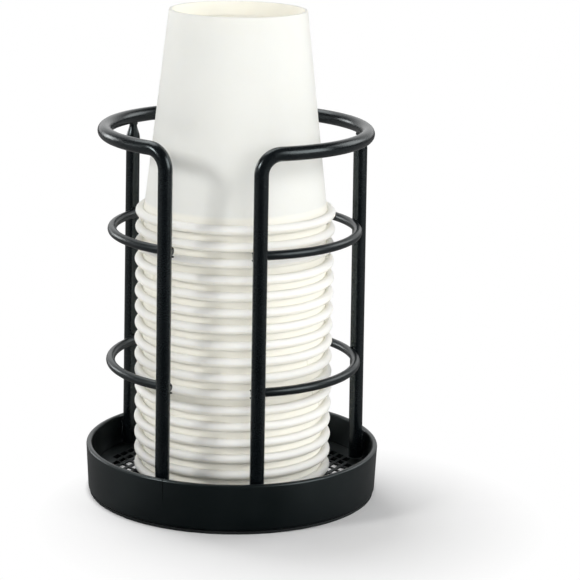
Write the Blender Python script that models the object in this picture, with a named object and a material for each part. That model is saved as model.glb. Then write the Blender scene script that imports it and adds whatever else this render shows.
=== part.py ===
"""Countertop holder for a column of nested paper cups.

A round tray, made of a rolled steel band and an expanded metal floor, stands on a thin
foot ring. One long bent wire makes both front posts and the hoop that joins them round
the back, two posts stand at the back under the hoop, and two thinner rings tie the
posts together. All four posts lean in a little from the tray up to the hoop. The front
is left open between the front posts, so that fingers reach the cups. The cups stand
upside down, each over the one below.

The cup is the size that the rest follows: the posts stand a finger's width outside its
rim, the floor reaches the posts' outer side, and the band is rolled round the floor.

Lengths are in metres and angles in degrees. The opening faces -Y, +Z is up, and the
origin is on the surface that the holder stands on, in the middle of the tray.
"""

import math

import bmesh
import bpy
from mathutils import Vector

# Clearance between pieces that touch, seat or are welded
SEAT_GAP = 0.0003

# Paper cup, mouth down: rolled rim at the mouth, base disc set up inside the wall
CUP_COUNT = 17
CUP_MOUTH_RADIUS = 0.0326
CUP_BASE_RADIUS = 0.0242
CUP_HEIGHT = 0.0716
CUP_PAPER = 0.00035
CUP_RIM_ROLL = 0.0033
CUP_SKIRT = 0.0010
CUP_BASE_RECESS = 0.0052
CUP_STEPS = 20
ROLL_STEPS = 6

# Frame wire: front posts and hoop are one length, and all posts lean in to the hoop
FRAME_WIRE = 0.0050
POST_STANDOFF = 0.0095
HOOP_HEIGHT = 0.1320
HOOP_SET_IN = 0.0012
HOOP_BEND = 0.0070
FRONT_POST_ANGLE = 20.5
BACK_POST_ANGLE = 116.0
POST_TIP_WIDTH = 0.0026
POST_TIP_HEIGHT = 0.0050

# Tie rings, set down into the inside of the posts
RING_WIRE = 0.0032
RING_SET_DOWN = 0.0011
RING_END_REACH = 0.0018
UPPER_RING_HEIGHT = 0.0967
LOWER_RING_HEIGHT = 0.0486

# Foot ring under the band, set in from its outer face
FOOT_HEIGHT = 0.0010
FOOT_INSET = 0.0005

# Tray floor: a disc with a plain border round a field of expanded metal diamonds
FLOOR_TOP = 0.0078
FLOOR_SHEET = 0.0012
FLOOR_BORDER = 0.0030
DIAMOND_LONG = 0.0106
DIAMOND_SHORT = 0.0071
STRAND_WIDTH = 0.0012
FIELD_TURN = 10.0

# Tray band: a flat strip rolled to a ring that opens slightly upwards, with rounded edges
BAND_WALL = 0.0020
BAND_TOP = 0.0181
BAND_SPREAD = 0.0007
BAND_EDGE_ROUND = 0.0007
BAND_STEPS = 56

# Facets of the wires
HOOP_ARC_STEPS = 38
BEND_STEPS = 5
RING_ARC_STEPS = 36
FRAME_WIRE_RESOLUTION = 3
RING_WIRE_RESOLUTION = 2
CLEARANCE_RESOLUTION = 8

# Edges that turn by more than these angles are shaded as corners
CORNER_ANGLE = 40.0
CUP_CORNER_ANGLE = 50.0

# Cups: the next cup sits on a base, and clears the wall and the rim of the cup below
CUP_TAPER = (CUP_MOUTH_RADIUS - CUP_BASE_RADIUS) / CUP_HEIGHT
CUP_RIM_RADIUS = CUP_MOUTH_RADIUS - CUP_PAPER + CUP_RIM_ROLL
BASE_PITCH = CUP_BASE_RECESS + CUP_PAPER + SEAT_GAP
WALL_PITCH = (CUP_PAPER + SEAT_GAP) / CUP_TAPER
RIM_PITCH = CUP_RIM_ROLL + SEAT_GAP
CUP_PITCH = max(BASE_PITCH, WALL_PITCH, RIM_PITCH)
FIRST_RIM_HEIGHT = FLOOR_TOP + SEAT_GAP + CUP_RIM_ROLL / 2

# Cage: the front posts' bends run out into the hoop without a kink
POST_RADIUS = CUP_RIM_RADIUS + POST_STANDOFF + FRAME_WIRE / 2
POST_FOOT_HEIGHT = FLOOR_TOP + SEAT_GAP
HOOP_RADIUS = POST_RADIUS - HOOP_SET_IN
HOOP_UNDERSIDE = HOOP_HEIGHT - FRAME_WIRE / 2
BEND_FOOT_RADIUS = math.hypot(HOOP_RADIUS, HOOP_BEND)
BEND_FOOT_HEIGHT = HOOP_HEIGHT - HOOP_BEND

# Tray: the floor reaches the posts' outer side, and the band closes round it
FLOOR_BOTTOM = FLOOR_TOP - FLOOR_SHEET
FLOOR_RADIUS = POST_RADIUS + FRAME_WIRE / 2
FIELD_RADIUS = FLOOR_RADIUS - FLOOR_BORDER
BAND_BOTTOM = FOOT_HEIGHT + SEAT_GAP
BAND_SLOPE = BAND_SPREAD / (BAND_TOP - BAND_BOTTOM)
BAND_FOOT_INNER = FLOOR_RADIUS + SEAT_GAP - BAND_SLOPE * (FLOOR_BOTTOM - BAND_BOTTOM)
BAND_FOOT_OUTER = BAND_FOOT_INNER + BAND_WALL

# Overrun of cutters past what they cut
CUT_OVERRUN = 0.0020
MERGE_DISTANCE = 0.000001


def clear_scene():
    """Remove every object, so that the file starts empty."""
    for item in list(bpy.data.objects):
        bpy.data.objects.remove(item, do_unlink=True)


def make_material(name, colour, roughness, metallic=0.0):
    """Return a plain finish with one colour."""
    material = bpy.data.materials.new(name)
    material.use_nodes = True
    shader = material.node_tree.nodes["Principled BSDF"]
    shader.inputs["Base Color"].default_value = (*colour, 1.0)
    shader.inputs["Roughness"].default_value = roughness
    shader.inputs["Metallic"].default_value = metallic
    material.diffuse_color = (*colour, 1.0)
    return material


def add_object(name, mesh, parent=None):
    """Link a mesh to the scene as one named piece."""
    item = bpy.data.objects.new(name, mesh)
    bpy.context.collection.objects.link(item)
    item.parent = parent
    return item


def add_empty(name, parent=None):
    """Add an empty on the joint axis that the pieces under it share."""
    empty = bpy.data.objects.new(name, None)
    bpy.context.collection.objects.link(empty)
    empty.parent = parent
    return empty


def finish_mesh(mesh, material, corner_angle=CORNER_ANGLE):
    """Give a mesh its finish and shade it smooth except at its real corners."""
    mesh.materials.clear()
    mesh.materials.append(material)
    mesh.shade_smooth()
    mesh.set_sharp_from_angle(angle=math.radians(corner_angle))


def turned_mesh(name, profile, steps, closed):
    """Turn a profile of (radius, height) points about Z into a closed solid."""
    work = bmesh.new()
    corners = [work.verts.new((radius, 0.0, height)) for radius, height in profile]
    edges = [work.edges.new(pair) for pair in zip(corners, corners[1:])]
    if closed:
        edges.append(work.edges.new((corners[-1], corners[0])))
    bmesh.ops.spin(
        work,
        geom=corners + edges,
        cent=(0.0, 0.0, 0.0),
        axis=(0.0, 0.0, 1.0),
        angle=math.tau,
        steps=steps,
        use_merge=True,
    )
    bmesh.ops.remove_doubles(work, verts=work.verts, dist=MERGE_DISTANCE)
    bmesh.ops.recalc_face_normals(work, faces=work.faces)
    mesh = bpy.data.meshes.new(name)
    work.to_mesh(mesh)
    work.free()
    return mesh


def arc_points(centre, radius, start, end, steps):
    """Return points of an arc in a profile, from one angle to another."""
    points = []
    for step in range(steps + 1):
        angle = math.radians(start + (end - start) * step / steps)
        points.append((centre[0] + radius * math.cos(angle), centre[1] + radius * math.sin(angle)))
    return points


def around(azimuth, radius, height):
    """Return the point at an azimuth, counted from the front opening towards +X."""
    turn = math.radians(azimuth)
    return Vector((radius * math.sin(turn), -radius * math.cos(turn), height))


def leaning_point(azimuth, height, top_radius, top_height):
    """Return the point at a height on the middle line of a post that leans to its top."""
    lean = (top_radius - POST_RADIUS) / (top_height - POST_FOOT_HEIGHT)
    return around(azimuth, POST_RADIUS + lean * (height - POST_FOOT_HEIGHT), height)


def front_post_point(azimuth, height):
    """Return the point of a front post's middle line at a height below its bend."""
    return leaning_point(azimuth, height, BEND_FOOT_RADIUS, BEND_FOOT_HEIGHT)


def back_post_point(azimuth, height):
    """Return the point of a back post's middle line at a height."""
    return leaning_point(azimuth, height, HOOP_RADIUS, HOOP_HEIGHT)


def wire_mesh(name, points, diameter, resolution):
    """Sweep a round wire with closed ends along a line of points."""
    curve = bpy.data.curves.new(name, "CURVE")
    curve.dimensions = "3D"
    curve.bevel_depth = diameter / 2
    curve.bevel_resolution = resolution
    curve.use_fill_caps = True
    spline = curve.splines.new("POLY")
    spline.points.add(len(points) - 1)
    for knot, point in zip(spline.points, points):
        knot.co = (*point, 1.0)
    sweep = bpy.data.objects.new(name, curve)
    bpy.context.collection.objects.link(sweep)
    bpy.context.view_layer.update()
    seen = sweep.evaluated_get(bpy.context.evaluated_depsgraph_get())
    mesh = bpy.data.meshes.new_from_object(seen)
    mesh.name = name
    bpy.data.objects.remove(sweep, do_unlink=True)
    bpy.data.curves.remove(curve)
    work = bmesh.new()
    work.from_mesh(mesh)
    bmesh.ops.remove_doubles(work, verts=work.verts, dist=MERGE_DISTANCE)
    bmesh.ops.recalc_face_normals(work, faces=work.faces)
    work.to_mesh(mesh)
    work.free()
    return mesh


def cut_with(item, cutter):
    """Cut one solid out of a piece and keep the cutter as a hidden guide."""
    cutter.hide_render = True
    cutter.display_type = "WIRE"
    cut = item.modifiers.new("cut_" + cutter.name, "BOOLEAN")
    cut.operation = "DIFFERENCE"
    cut.solver = "EXACT"
    cut.object = cutter


def make_band(finish):
    """Roll the tray's band: an upright strip with rounded edges."""
    low = BAND_BOTTOM + BAND_EDGE_ROUND
    high = BAND_TOP - BAND_EDGE_ROUND
    top_outer = BAND_FOOT_OUTER + BAND_SPREAD
    top_inner = BAND_FOOT_INNER + BAND_SPREAD
    profile = arc_points((BAND_FOOT_OUTER - BAND_EDGE_ROUND, low), BAND_EDGE_ROUND, -90, 0, 2)
    profile += arc_points((top_outer - BAND_EDGE_ROUND, high), BAND_EDGE_ROUND, 0, 90, 2)
    profile += arc_points((top_inner + BAND_EDGE_ROUND, high), BAND_EDGE_ROUND, 90, 180, 2)
    profile.append((BAND_FOOT_INNER, BAND_BOTTOM))
    mesh = turned_mesh("tray_band", profile, BAND_STEPS, closed=True)
    finish_mesh(mesh, finish)
    return add_object("tray_band", mesh)


def make_foot_ring(finish):
    """Turn the flat ring that the band stands on."""
    outer = BAND_FOOT_OUTER - FOOT_INSET
    profile = [(BAND_FOOT_INNER, 0.0), (outer, 0.0), (outer, FOOT_HEIGHT), (BAND_FOOT_INNER, FOOT_HEIGHT)]
    mesh = turned_mesh("foot_ring", profile, BAND_STEPS, closed=True)
    finish_mesh(mesh, finish)
    return add_object("foot_ring", mesh)


def diamond_centres(long_half, short_half):
    """Return the centres of the diamonds that fit whole inside the floor's field."""
    centres = []
    rows = math.ceil(FIELD_RADIUS / short_half)
    columns = math.ceil(FIELD_RADIUS / long_half)
    for row in range(-rows, rows + 1):
        for column in range(-columns, columns + 1):
            if (row + column) % 2:
                continue
            x = row * short_half
            y = column * long_half
            corner_reach = max(math.hypot(x, abs(y) + long_half), math.hypot(abs(x) + short_half, y))
            if corner_reach <= FIELD_RADIUS:
                centres.append((x, y))
    return centres


def make_field_cutter():
    """Make the prisms that cut the diamonds out of the floor, as one guide."""
    long_half = DIAMOND_LONG / 2
    short_half = DIAMOND_SHORT / 2
    side_distance = long_half * short_half / math.hypot(long_half, short_half)
    open_share = 1 - STRAND_WIDTH / 2 / side_distance
    low = FLOOR_BOTTOM - CUT_OVERRUN
    height = FLOOR_SHEET + 2 * CUT_OVERRUN
    turn = math.radians(FIELD_TURN)
    work = bmesh.new()
    for x, y in diamond_centres(long_half, short_half):
        corners = []
        for side_x, side_y in ((1, 0), (0, 1), (-1, 0), (0, -1)):
            across = x + side_x * short_half * open_share
            along = y + side_y * long_half * open_share
            turned_x = across * math.cos(turn) - along * math.sin(turn)
            turned_y = across * math.sin(turn) + along * math.cos(turn)
            corners.append(work.verts.new((turned_x, turned_y, low)))
        face = work.faces.new(corners)
        raised = bmesh.ops.extrude_face_region(work, geom=[face])
        lifted = [part for part in raised["geom"] if isinstance(part, bmesh.types.BMVert)]
        bmesh.ops.translate(work, verts=lifted, vec=(0.0, 0.0, height))
    bmesh.ops.recalc_face_normals(work, faces=work.faces)
    mesh = bpy.data.meshes.new("field_cutter")
    work.to_mesh(mesh)
    work.free()
    return add_object("field_cutter", mesh)


def make_floor(finish):
    """Cut the tray's floor: a disc with a plain border and a field of diamonds."""
    profile = [
        (0.0, FLOOR_BOTTOM),
        (FLOOR_RADIUS, FLOOR_BOTTOM),
        (FLOOR_RADIUS, FLOOR_TOP),
        (0.0, FLOOR_TOP),
    ]
    mesh = turned_mesh("tray_floor", profile, BAND_STEPS, closed=False)
    finish_mesh(mesh, finish)
    floor = add_object("tray_floor", mesh)
    cut_with(floor, make_field_cutter())
    return floor


def hoop_path():
    """Return the line of the long wire: up one front post, round the back, down the other."""
    bend_end = FRONT_POST_ANGLE + math.degrees(math.atan2(HOOP_BEND, HOOP_RADIUS))
    corner = around(bend_end, HOOP_RADIUS, HOOP_HEIGHT)
    onward = around(bend_end + 90, HOOP_BEND, 0.0)
    upward = Vector((0.0, 0.0, HOOP_BEND))
    half = [around(FRONT_POST_ANGLE, POST_RADIUS, POST_FOOT_HEIGHT)]
    for step in range(BEND_STEPS + 1):
        angle = math.radians(90 * step / BEND_STEPS)
        half.append(corner - onward * math.cos(angle) - upward * (1 - math.sin(angle)))
    sweep = 360 - 2 * bend_end
    arc = []
    for step in range(1, HOOP_ARC_STEPS):
        arc.append(around(bend_end + sweep * step / HOOP_ARC_STEPS, HOOP_RADIUS, HOOP_HEIGHT))
    other = [Vector((-point.x, point.y, point.z)) for point in reversed(half)]
    return half + arc + other


def make_hoop(finish):
    """Bend the long wire that makes the hoop and both front posts."""
    mesh = wire_mesh("hoop_and_front_posts", hoop_path(), FRAME_WIRE, FRAME_WIRE_RESOLUTION)
    finish_mesh(mesh, finish)
    return add_object("hoop_and_front_posts", mesh)


def make_back_post(name, azimuth, finish):
    """Turn a back post, whose tip tapers to the hoop's underside, and lean it in."""
    foot = back_post_point(azimuth, POST_FOOT_HEIGHT)
    lean = back_post_point(azimuth, HOOP_UNDERSIDE - SEAT_GAP) - foot
    profile = [
        (0.0, 0.0),
        (FRAME_WIRE / 2, 0.0),
        (FRAME_WIRE / 2, lean.length - POST_TIP_HEIGHT),
        (POST_TIP_WIDTH / 2, lean.length),
        (0.0, lean.length),
    ]
    mesh = turned_mesh(name, profile, 2 * (FRAME_WIRE_RESOLUTION + 2), closed=False)
    finish_mesh(mesh, finish)
    post = add_object(name, mesh)
    post.location = foot
    post.rotation_euler = lean.to_track_quat("Z", "Y").to_euler()
    return post


def make_post_clearance():
    """Make the four guides that set the tie rings down into the posts."""
    lines = []
    for azimuth in (-FRONT_POST_ANGLE, FRONT_POST_ANGLE):
        lines.append([front_post_point(azimuth, height) for height in (POST_FOOT_HEIGHT, BEND_FOOT_HEIGHT)])
    for azimuth in (-BACK_POST_ANGLE, BACK_POST_ANGLE):
        lines.append([back_post_point(azimuth, height) for height in (POST_FOOT_HEIGHT, HOOP_HEIGHT)])
    work = bmesh.new()
    for line in lines:
        guide = wire_mesh("post_guide", line, FRAME_WIRE + 2 * SEAT_GAP, CLEARANCE_RESOLUTION)
        work.from_mesh(guide)
        bpy.data.meshes.remove(guide)
    mesh = bpy.data.meshes.new("post_clearance")
    work.to_mesh(mesh)
    work.free()
    return add_object("post_clearance", mesh)


def make_tie_ring(name, height, clearance, finish):
    """Bend a tie ring, whose ends stop beside the front posts."""
    post_radius = back_post_point(0.0, height).xy.length
    radius = post_radius - (FRAME_WIRE + RING_WIRE) / 2 + RING_SET_DOWN
    first = FRONT_POST_ANGLE - math.degrees(RING_END_REACH / radius)
    sweep = 360 - 2 * first
    path = []
    for step in range(RING_ARC_STEPS + 1):
        path.append(around(first + sweep * step / RING_ARC_STEPS, radius, height))
    mesh = wire_mesh(name, path, RING_WIRE, RING_WIRE_RESOLUTION)
    finish_mesh(mesh, finish)
    ring = add_object(name, mesh)
    cut_with(ring, clearance)
    return ring


def cup_profile():
    """Return the outline of a cup, mouth down, with its rim's middle at height zero."""
    recess_floor = CUP_HEIGHT - CUP_BASE_RECESS
    inner_floor = recess_floor - CUP_PAPER
    roll = CUP_RIM_ROLL / 2
    roll_centre = (CUP_MOUTH_RADIUS - CUP_PAPER + roll, 0.0)
    meet = 180 - math.degrees(math.acos((roll - CUP_PAPER) / roll))
    wall_at_inner_floor = CUP_MOUTH_RADIUS - CUP_PAPER - CUP_TAPER * inner_floor
    profile = [(0.0, inner_floor), (wall_at_inner_floor, inner_floor)]
    profile += arc_points(roll_centre, roll, -180, meet, ROLL_STEPS)
    profile += [
        (CUP_BASE_RADIUS, CUP_HEIGHT),
        (CUP_BASE_RADIUS - CUP_SKIRT, CUP_HEIGHT),
        (CUP_BASE_RADIUS - CUP_SKIRT, recess_floor),
        (0.0, recess_floor),
    ]
    return profile


def make_cups(finish):
    """Nest the cups, each over the one below, with the top cup free to come off first."""
    mesh = turned_mesh("paper_cup", cup_profile(), CUP_STEPS, closed=False)
    finish_mesh(mesh, finish, CUP_CORNER_ANGLE)
    stack_lift = add_empty("cup_stack_lift")
    top_lift = add_empty("top_cup_lift", stack_lift)
    cups = []
    for number in range(1, CUP_COUNT + 1):
        parent = top_lift if number == CUP_COUNT else stack_lift
        cup = add_object(f"cup_{number:02d}", mesh, parent)
        cup.location = (0.0, 0.0, FIRST_RIM_HEIGHT + CUP_PITCH * (number - 1))
        cups.append(cup)
    return cups


def main():
    """Build every piece of the holder and its cups."""
    clear_scene()
    band_coat = make_material("band_powder_coat", (0.010, 0.012, 0.013), 0.40)
    floor_coat = make_material("floor_powder_coat", (0.009, 0.010, 0.011), 0.46)
    wire_coat = make_material("wire_powder_coat", (0.009, 0.010, 0.012), 0.32)
    foot_rubber = make_material("foot_rubber", (0.012, 0.012, 0.013), 0.80)
    cup_paper = make_material("cup_paper", (0.88, 0.87, 0.82), 0.58)
    make_band(band_coat)
    make_foot_ring(foot_rubber)
    make_floor(floor_coat)
    make_hoop(wire_coat)
    make_back_post("back_post_left", -BACK_POST_ANGLE, wire_coat)
    make_back_post("back_post_right", BACK_POST_ANGLE, wire_coat)
    clearance = make_post_clearance()
    make_tie_ring("upper_ring", UPPER_RING_HEIGHT, clearance, wire_coat)
    make_tie_ring("lower_ring", LOWER_RING_HEIGHT, clearance, wire_coat)
    make_cups(cup_paper)


main()
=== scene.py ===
"""Dress a countertop holder and its column of paper cups.

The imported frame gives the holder's bodies and nodes. Every visible piece is modelled
here again at the frame's size and place, finer than the frame's own faceted solids: the
rolled band and its seam, the expanded metal floor, the bent wires and their welds, and
the rolled paper cups.

Lengths are in metres and angles in degrees. The opening faces -Y and +Z is up.
"""

import logging
import math
import random
from collections.abc import Callable, Iterator
from contextlib import contextmanager
from dataclasses import dataclass
from enum import Enum

import bmesh
import bpy
from bpy.types import Material, Node, NodeSocket, NodeTree, Object
from mathutils import Matrix, Vector

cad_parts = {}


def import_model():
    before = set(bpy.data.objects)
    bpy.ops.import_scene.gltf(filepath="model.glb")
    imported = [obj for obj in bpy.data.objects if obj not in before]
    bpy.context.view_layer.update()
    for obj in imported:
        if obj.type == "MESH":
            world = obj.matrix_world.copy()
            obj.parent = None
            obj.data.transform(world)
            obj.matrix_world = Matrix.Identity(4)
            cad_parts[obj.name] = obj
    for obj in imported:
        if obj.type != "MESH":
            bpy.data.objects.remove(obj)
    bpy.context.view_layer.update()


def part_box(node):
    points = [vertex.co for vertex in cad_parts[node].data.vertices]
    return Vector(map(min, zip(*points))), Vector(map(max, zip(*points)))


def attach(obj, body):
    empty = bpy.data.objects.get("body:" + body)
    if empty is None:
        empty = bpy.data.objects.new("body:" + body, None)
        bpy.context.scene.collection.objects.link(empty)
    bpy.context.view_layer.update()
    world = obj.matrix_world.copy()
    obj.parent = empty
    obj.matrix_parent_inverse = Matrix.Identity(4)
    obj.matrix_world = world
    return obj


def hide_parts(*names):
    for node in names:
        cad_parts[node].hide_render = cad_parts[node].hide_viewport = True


LOG = logging.getLogger("cup_dispenser")

MERGE_DISTANCE = 0.000001
ORIGIN = (0.0, 0.0, 0.0)
UP = Vector((0.0, 0.0, 1.0))
WHITE = (1.0, 1.0, 1.0, 1.0)

Colour = tuple[float, float, float]
Span = tuple[float, float]
Ramp = tuple[Span, Span]
Outline = list[tuple[float, float]]
Names = tuple[str, ...]
Feed = NodeSocket | float | tuple[float, ...]
MeshPart = bmesh.types.BMVert | bmesh.types.BMEdge | bmesh.types.BMFace


class Body(Enum):
    """Bodies of the frame that pieces ride on."""

    HOLDER = "holder"
    COLUMN = "cup_column"
    TOP_CUP = "top_cup"


class Slot(Enum):
    """Material slots of the frame's record."""

    BAND = "band_powder_coat"
    FLOOR = "floor_powder_coat"
    WIRE = "wire_powder_coat"
    FOOT = "foot_rubber"
    PAPER = "cup_paper"


class Side(Enum):
    """Sides of the holder, seen from its opening, as the sign of X."""

    LEFT = -1
    RIGHT = 1


class Pick(Enum):
    """What a click selects in edit mode, and the mesh's list of it."""

    VERTS = ("VERT", "verts")
    EDGES = ("EDGE", "edges")
    FACES = ("FACE", "faces")


# Modelling by hand


def clear_selection() -> None:
    """Leave edit mode and select nothing."""
    if bpy.context.object and bpy.context.object.mode != "OBJECT":
        bpy.ops.object.mode_set(mode="OBJECT")
    bpy.ops.object.select_all(action="DESELECT")


def take(piece: Object) -> None:
    """Select one piece alone and make it active.

    Args:
        piece: The piece that the next operator works on.
    """
    clear_selection()
    piece.select_set(True)
    bpy.context.view_layer.objects.active = piece


def settle(name: str) -> Object:
    """Name the primitive just added and put its place into its mesh.

    Args:
        name: The piece's name.

    Returns:
        The piece, at the origin, unturned and unscaled.
    """
    piece = bpy.context.object
    piece.name = name
    piece.data.name = name
    bpy.ops.object.transform_apply(location=True, rotation=True, scale=True)
    return piece


@contextmanager
def editing(piece: Object, pick: Pick, action: str = "DESELECT") -> Iterator[None]:
    """Open a piece in edit mode, and close it after.

    Args:
        piece: The piece to edit.
        pick: What is selected in it.
        action: DESELECT to begin with nothing selected, SELECT with all of it.

    Yields:
        Nothing; the piece is in edit mode meanwhile.
    """
    take(piece)
    bpy.ops.object.mode_set(mode="EDIT")
    bpy.ops.mesh.select_mode(type=pick.value[0])
    bpy.ops.mesh.select_all(action=action)
    yield
    bpy.ops.object.mode_set(mode="OBJECT")


def select(piece: Object, pick: Pick, test: Callable[[MeshPart], bool]) -> None:
    """Select what passes a test in a piece in edit mode, and nothing else.

    Args:
        piece: The piece in edit mode.
        pick: Whether its points, edges or faces are tested.
        test: Says whether one of them is wanted.
    """
    work = bmesh.from_edit_mesh(piece.data)
    parts = getattr(work, pick.value[1])
    wanted = [part for part in parts if test(part)]
    for part in parts:
        part.select_set(False)
    for part in wanted:
        part.select_set(True)
    bmesh.update_edit_mesh(piece.data)


def apply_all(piece: Object) -> None:
    """Apply every modifier of a piece, in order."""
    take(piece)
    for modifier in list(piece.modifiers):
        bpy.ops.object.modifier_apply(modifier=modifier.name)


def carve(piece: Object, tool: Object, operation: str) -> None:
    """Cut a piece by another shape, and throw that shape away.

    Args:
        piece: The piece that is cut.
        tool: The shape that cuts it.
        operation: The boolean modifier's operation.
    """
    boolean = piece.modifiers.new("carve", "BOOLEAN")
    boolean.operation = operation
    boolean.solver = "EXACT"
    boolean.object = tool
    apply_all(piece)
    bpy.data.objects.remove(tool, do_unlink=True)


def close_up(piece: Object) -> None:
    """Merge doubled points and turn every face outwards."""
    with editing(piece, Pick.VERTS, "SELECT"):
        bpy.ops.mesh.remove_doubles(threshold=MERGE_DISTANCE)
        bpy.ops.mesh.normals_make_consistent(inside=False)


def smooth(piece: Object, corner: float) -> None:
    """Shade a piece smooth, except at edges that turn by more than an angle."""
    take(piece)
    bpy.ops.object.shade_smooth_by_angle(angle=math.radians(corner))


def dress(piece: Object, coat: Material, node: str, corner: float) -> Object:
    """Shade and coat a piece of the holder, and put it in a node's place.

    Args:
        piece: The piece.
        coat: Its finish.
        node: The node that it stands for.
        corner: The angle past which an edge stays sharp.

    Returns:
        The piece.
    """
    smooth(piece, corner)
    piece.data.materials.append(coat)
    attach(piece, Body.HOLDER.value)
    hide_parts(node)
    return piece


def join(kept: Object, others: list[Object]) -> None:
    """Join other pieces into one, as shapes that the same coat covers.

    Args:
        kept: The piece that stays and keeps its name.
        others: The pieces that become part of it.
    """
    take(kept)
    for other in others:
        other.select_set(True)
    bpy.ops.object.join()


def around(azimuth: float, radius: float, height: float = 0.0) -> Vector:
    """Return the point at an azimuth, counted from the opening towards +X.

    Args:
        azimuth: The angle about the holder's middle.
        radius: The distance from its middle.
        height: The height above the table.

    Returns:
        The point.
    """
    turn = math.radians(azimuth)
    return Vector((radius * math.sin(turn), -radius * math.cos(turn), height))


def arc(middle: tuple[float, float], radius: float, start: float, end: float, steps: int) -> Outline:
    """Return points of an arc in an outline of radius and height.

    Args:
        middle: The arc's own middle, as radius and height.
        radius: The arc's radius.
        start: The angle of its first point, from the direction away from the axis.
        end: The angle of its last point.
        steps: The number of steps between them.

    Returns:
        The points, as radius and height.
    """
    points = []
    for step in range(steps + 1):
        angle = math.radians(start + (end - start) * step / steps)
        points.append((middle[0] + radius * math.cos(angle), middle[1] + radius * math.sin(angle)))
    return points


def turned(name: str, outline: Outline, sides: int, ring: bool = False) -> Object:
    """Draw a round piece out of one ring of edges, step by step along an outline.

    Args:
        name: The piece's name.
        outline: Its points, as radius and height.
        sides: The number of sides.
        ring: True where the outline closes on itself; otherwise its ends are capped.

    Returns:
        The piece.
    """
    clear_selection()
    radius, height = outline[0]
    bpy.ops.mesh.primitive_circle_add(
        vertices=sides, radius=radius, fill_type="NOTHING", location=(0.0, 0.0, height)
    )
    piece = settle(name)
    with editing(piece, Pick.EDGES, "SELECT"):
        for before, after in zip(outline, outline[1:]):
            rise = (0.0, 0.0, after[1] - before[1])
            bpy.ops.mesh.extrude_region_move(TRANSFORM_OT_translate={"value": rise})
            widening = after[0] / before[0]
            bpy.ops.transform.resize(value=(widening, widening, 1.0), center_override=ORIGIN)
        select(piece, Pick.EDGES, lambda edge: edge.is_boundary)
        if ring:
            bpy.ops.mesh.bridge_edge_loops()
        else:
            bpy.ops.mesh.fill_holes(sides=0)
    close_up(piece)
    return piece


# Bent wire


@dataclass(frozen=True)
class Straight:
    """A straight run of wire."""

    run: Vector


@dataclass(frozen=True)
class Bend:
    """A bend of wire about an axis through a centre, by the right-hand rule."""

    centre: Vector
    axis: Vector
    angle: float
    steps: int


@dataclass(frozen=True)
class RoundWire:
    """Round wire of one thickness, cut to length with a file's touch at the ends."""

    thickness: float
    sides: int = 32
    end_round: float = 0.0004
    end_steps: int = 3

    def bent(self, name: str, start: Vector, heading: Vector, moves: list[Straight | Bend]) -> Object:
        """Draw a wire out of a ring of edges, by runs and bends.

        Args:
            name: The piece's name.
            start: Where the wire starts.
            heading: The direction that it starts in.
            moves: Its runs and bends, in order.

        Returns:
            The piece.
        """
        clear_selection()
        bpy.ops.mesh.primitive_circle_add(
            vertices=self.sides,
            radius=self.thickness / 2,
            fill_type="NOTHING",
            location=start,
            rotation=heading.to_track_quat("Z", "Y").to_euler(),
        )
        piece = settle(name)
        with editing(piece, Pick.EDGES, "SELECT"):
            for move in moves:
                if isinstance(move, Straight):
                    bpy.ops.mesh.extrude_region_move(TRANSFORM_OT_translate={"value": move.run})
                else:
                    angle = -math.radians(move.angle)
                    bpy.ops.mesh.spin(steps=move.steps, angle=angle, center=move.centre, axis=move.axis)
            select(piece, Pick.EDGES, lambda edge: edge.is_boundary)
            bpy.ops.mesh.fill_holes(sides=0)
            select(piece, Pick.EDGES, self.borders_end)
            bpy.ops.mesh.bevel(offset=self.end_round, segments=self.end_steps, affect="EDGES")
        close_up(piece)
        return piece

    def borders_end(self, edge: bmesh.types.BMEdge) -> bool:
        """Say whether an edge is on the rim of the wire's cut end."""
        return any(len(face.verts) == self.sides for face in edge.link_faces)


@dataclass(frozen=True)
class WeldBead:
    """A small lump of weld metal under the coat, rough as it was laid."""

    long: float
    wide: float
    thick: float
    roughness: float = 0.00014
    segments: int = 14
    rings: int = 9

    def laid(self, name: str, place: Vector, along: Vector, seed: int) -> Object:
        """Lay a bead at a place, its long way in a direction.

        Args:
            name: The bead's name.
            place: Its middle.
            along: The direction of its long way.
            seed: Chooses its own lumps.

        Returns:
            The bead.
        """
        clear_selection()
        bpy.ops.mesh.primitive_uv_sphere_add(
            segments=self.segments,
            ring_count=self.rings,
            radius=1.0,
            location=place,
            rotation=along.to_track_quat("Z", "Y").to_euler(),
            scale=(self.wide / 2, self.thick / 2, self.long / 2),
        )
        bead = settle(name)
        with editing(bead, Pick.VERTS, "SELECT"):
            bpy.ops.transform.vertex_random(offset=self.roughness, uniform=1.0, normal=0.0, seed=seed)
        rounding = bead.modifiers.new("rounding", "SUBSURF")
        rounding.levels = 1
        rounding.render_levels = 1
        apply_all(bead)
        return bead


# Finishes


@dataclass(frozen=True)
class Grain:
    """A noise, by the real size of its lumps and the number of finer layers over them."""

    size: float
    layers: float


def opaque(colour: Colour) -> tuple[float, ...]:
    """Return a colour with nothing see-through about it."""
    return (*colour, 1.0)


def feed(tree: NodeTree, node: Node, inputs: dict[str | int, Feed]) -> None:
    """Link a node's inputs to sockets or set them to values.

    Args:
        tree: The node tree.
        node: The node.
        inputs: What goes into each input, by its name or number.
    """
    for key, value in inputs.items():
        if isinstance(value, NodeSocket):
            tree.links.new(value, node.inputs[key])
        else:
            node.inputs[key].default_value = value


def add(tree: NodeTree, kind: str, inputs: dict[str | int, Feed] | None = None, **options: object) -> Node:
    """Add a shader node.

    Args:
        tree: The node tree.
        kind: The kind of node.
        inputs: What goes into its inputs.
        options: The node's own settings.

    Returns:
        The node.
    """
    node = tree.nodes.new(f"ShaderNode{kind}")
    for name, value in options.items():
        setattr(node, name, value)
    feed(tree, node, inputs or {})
    return node


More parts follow.
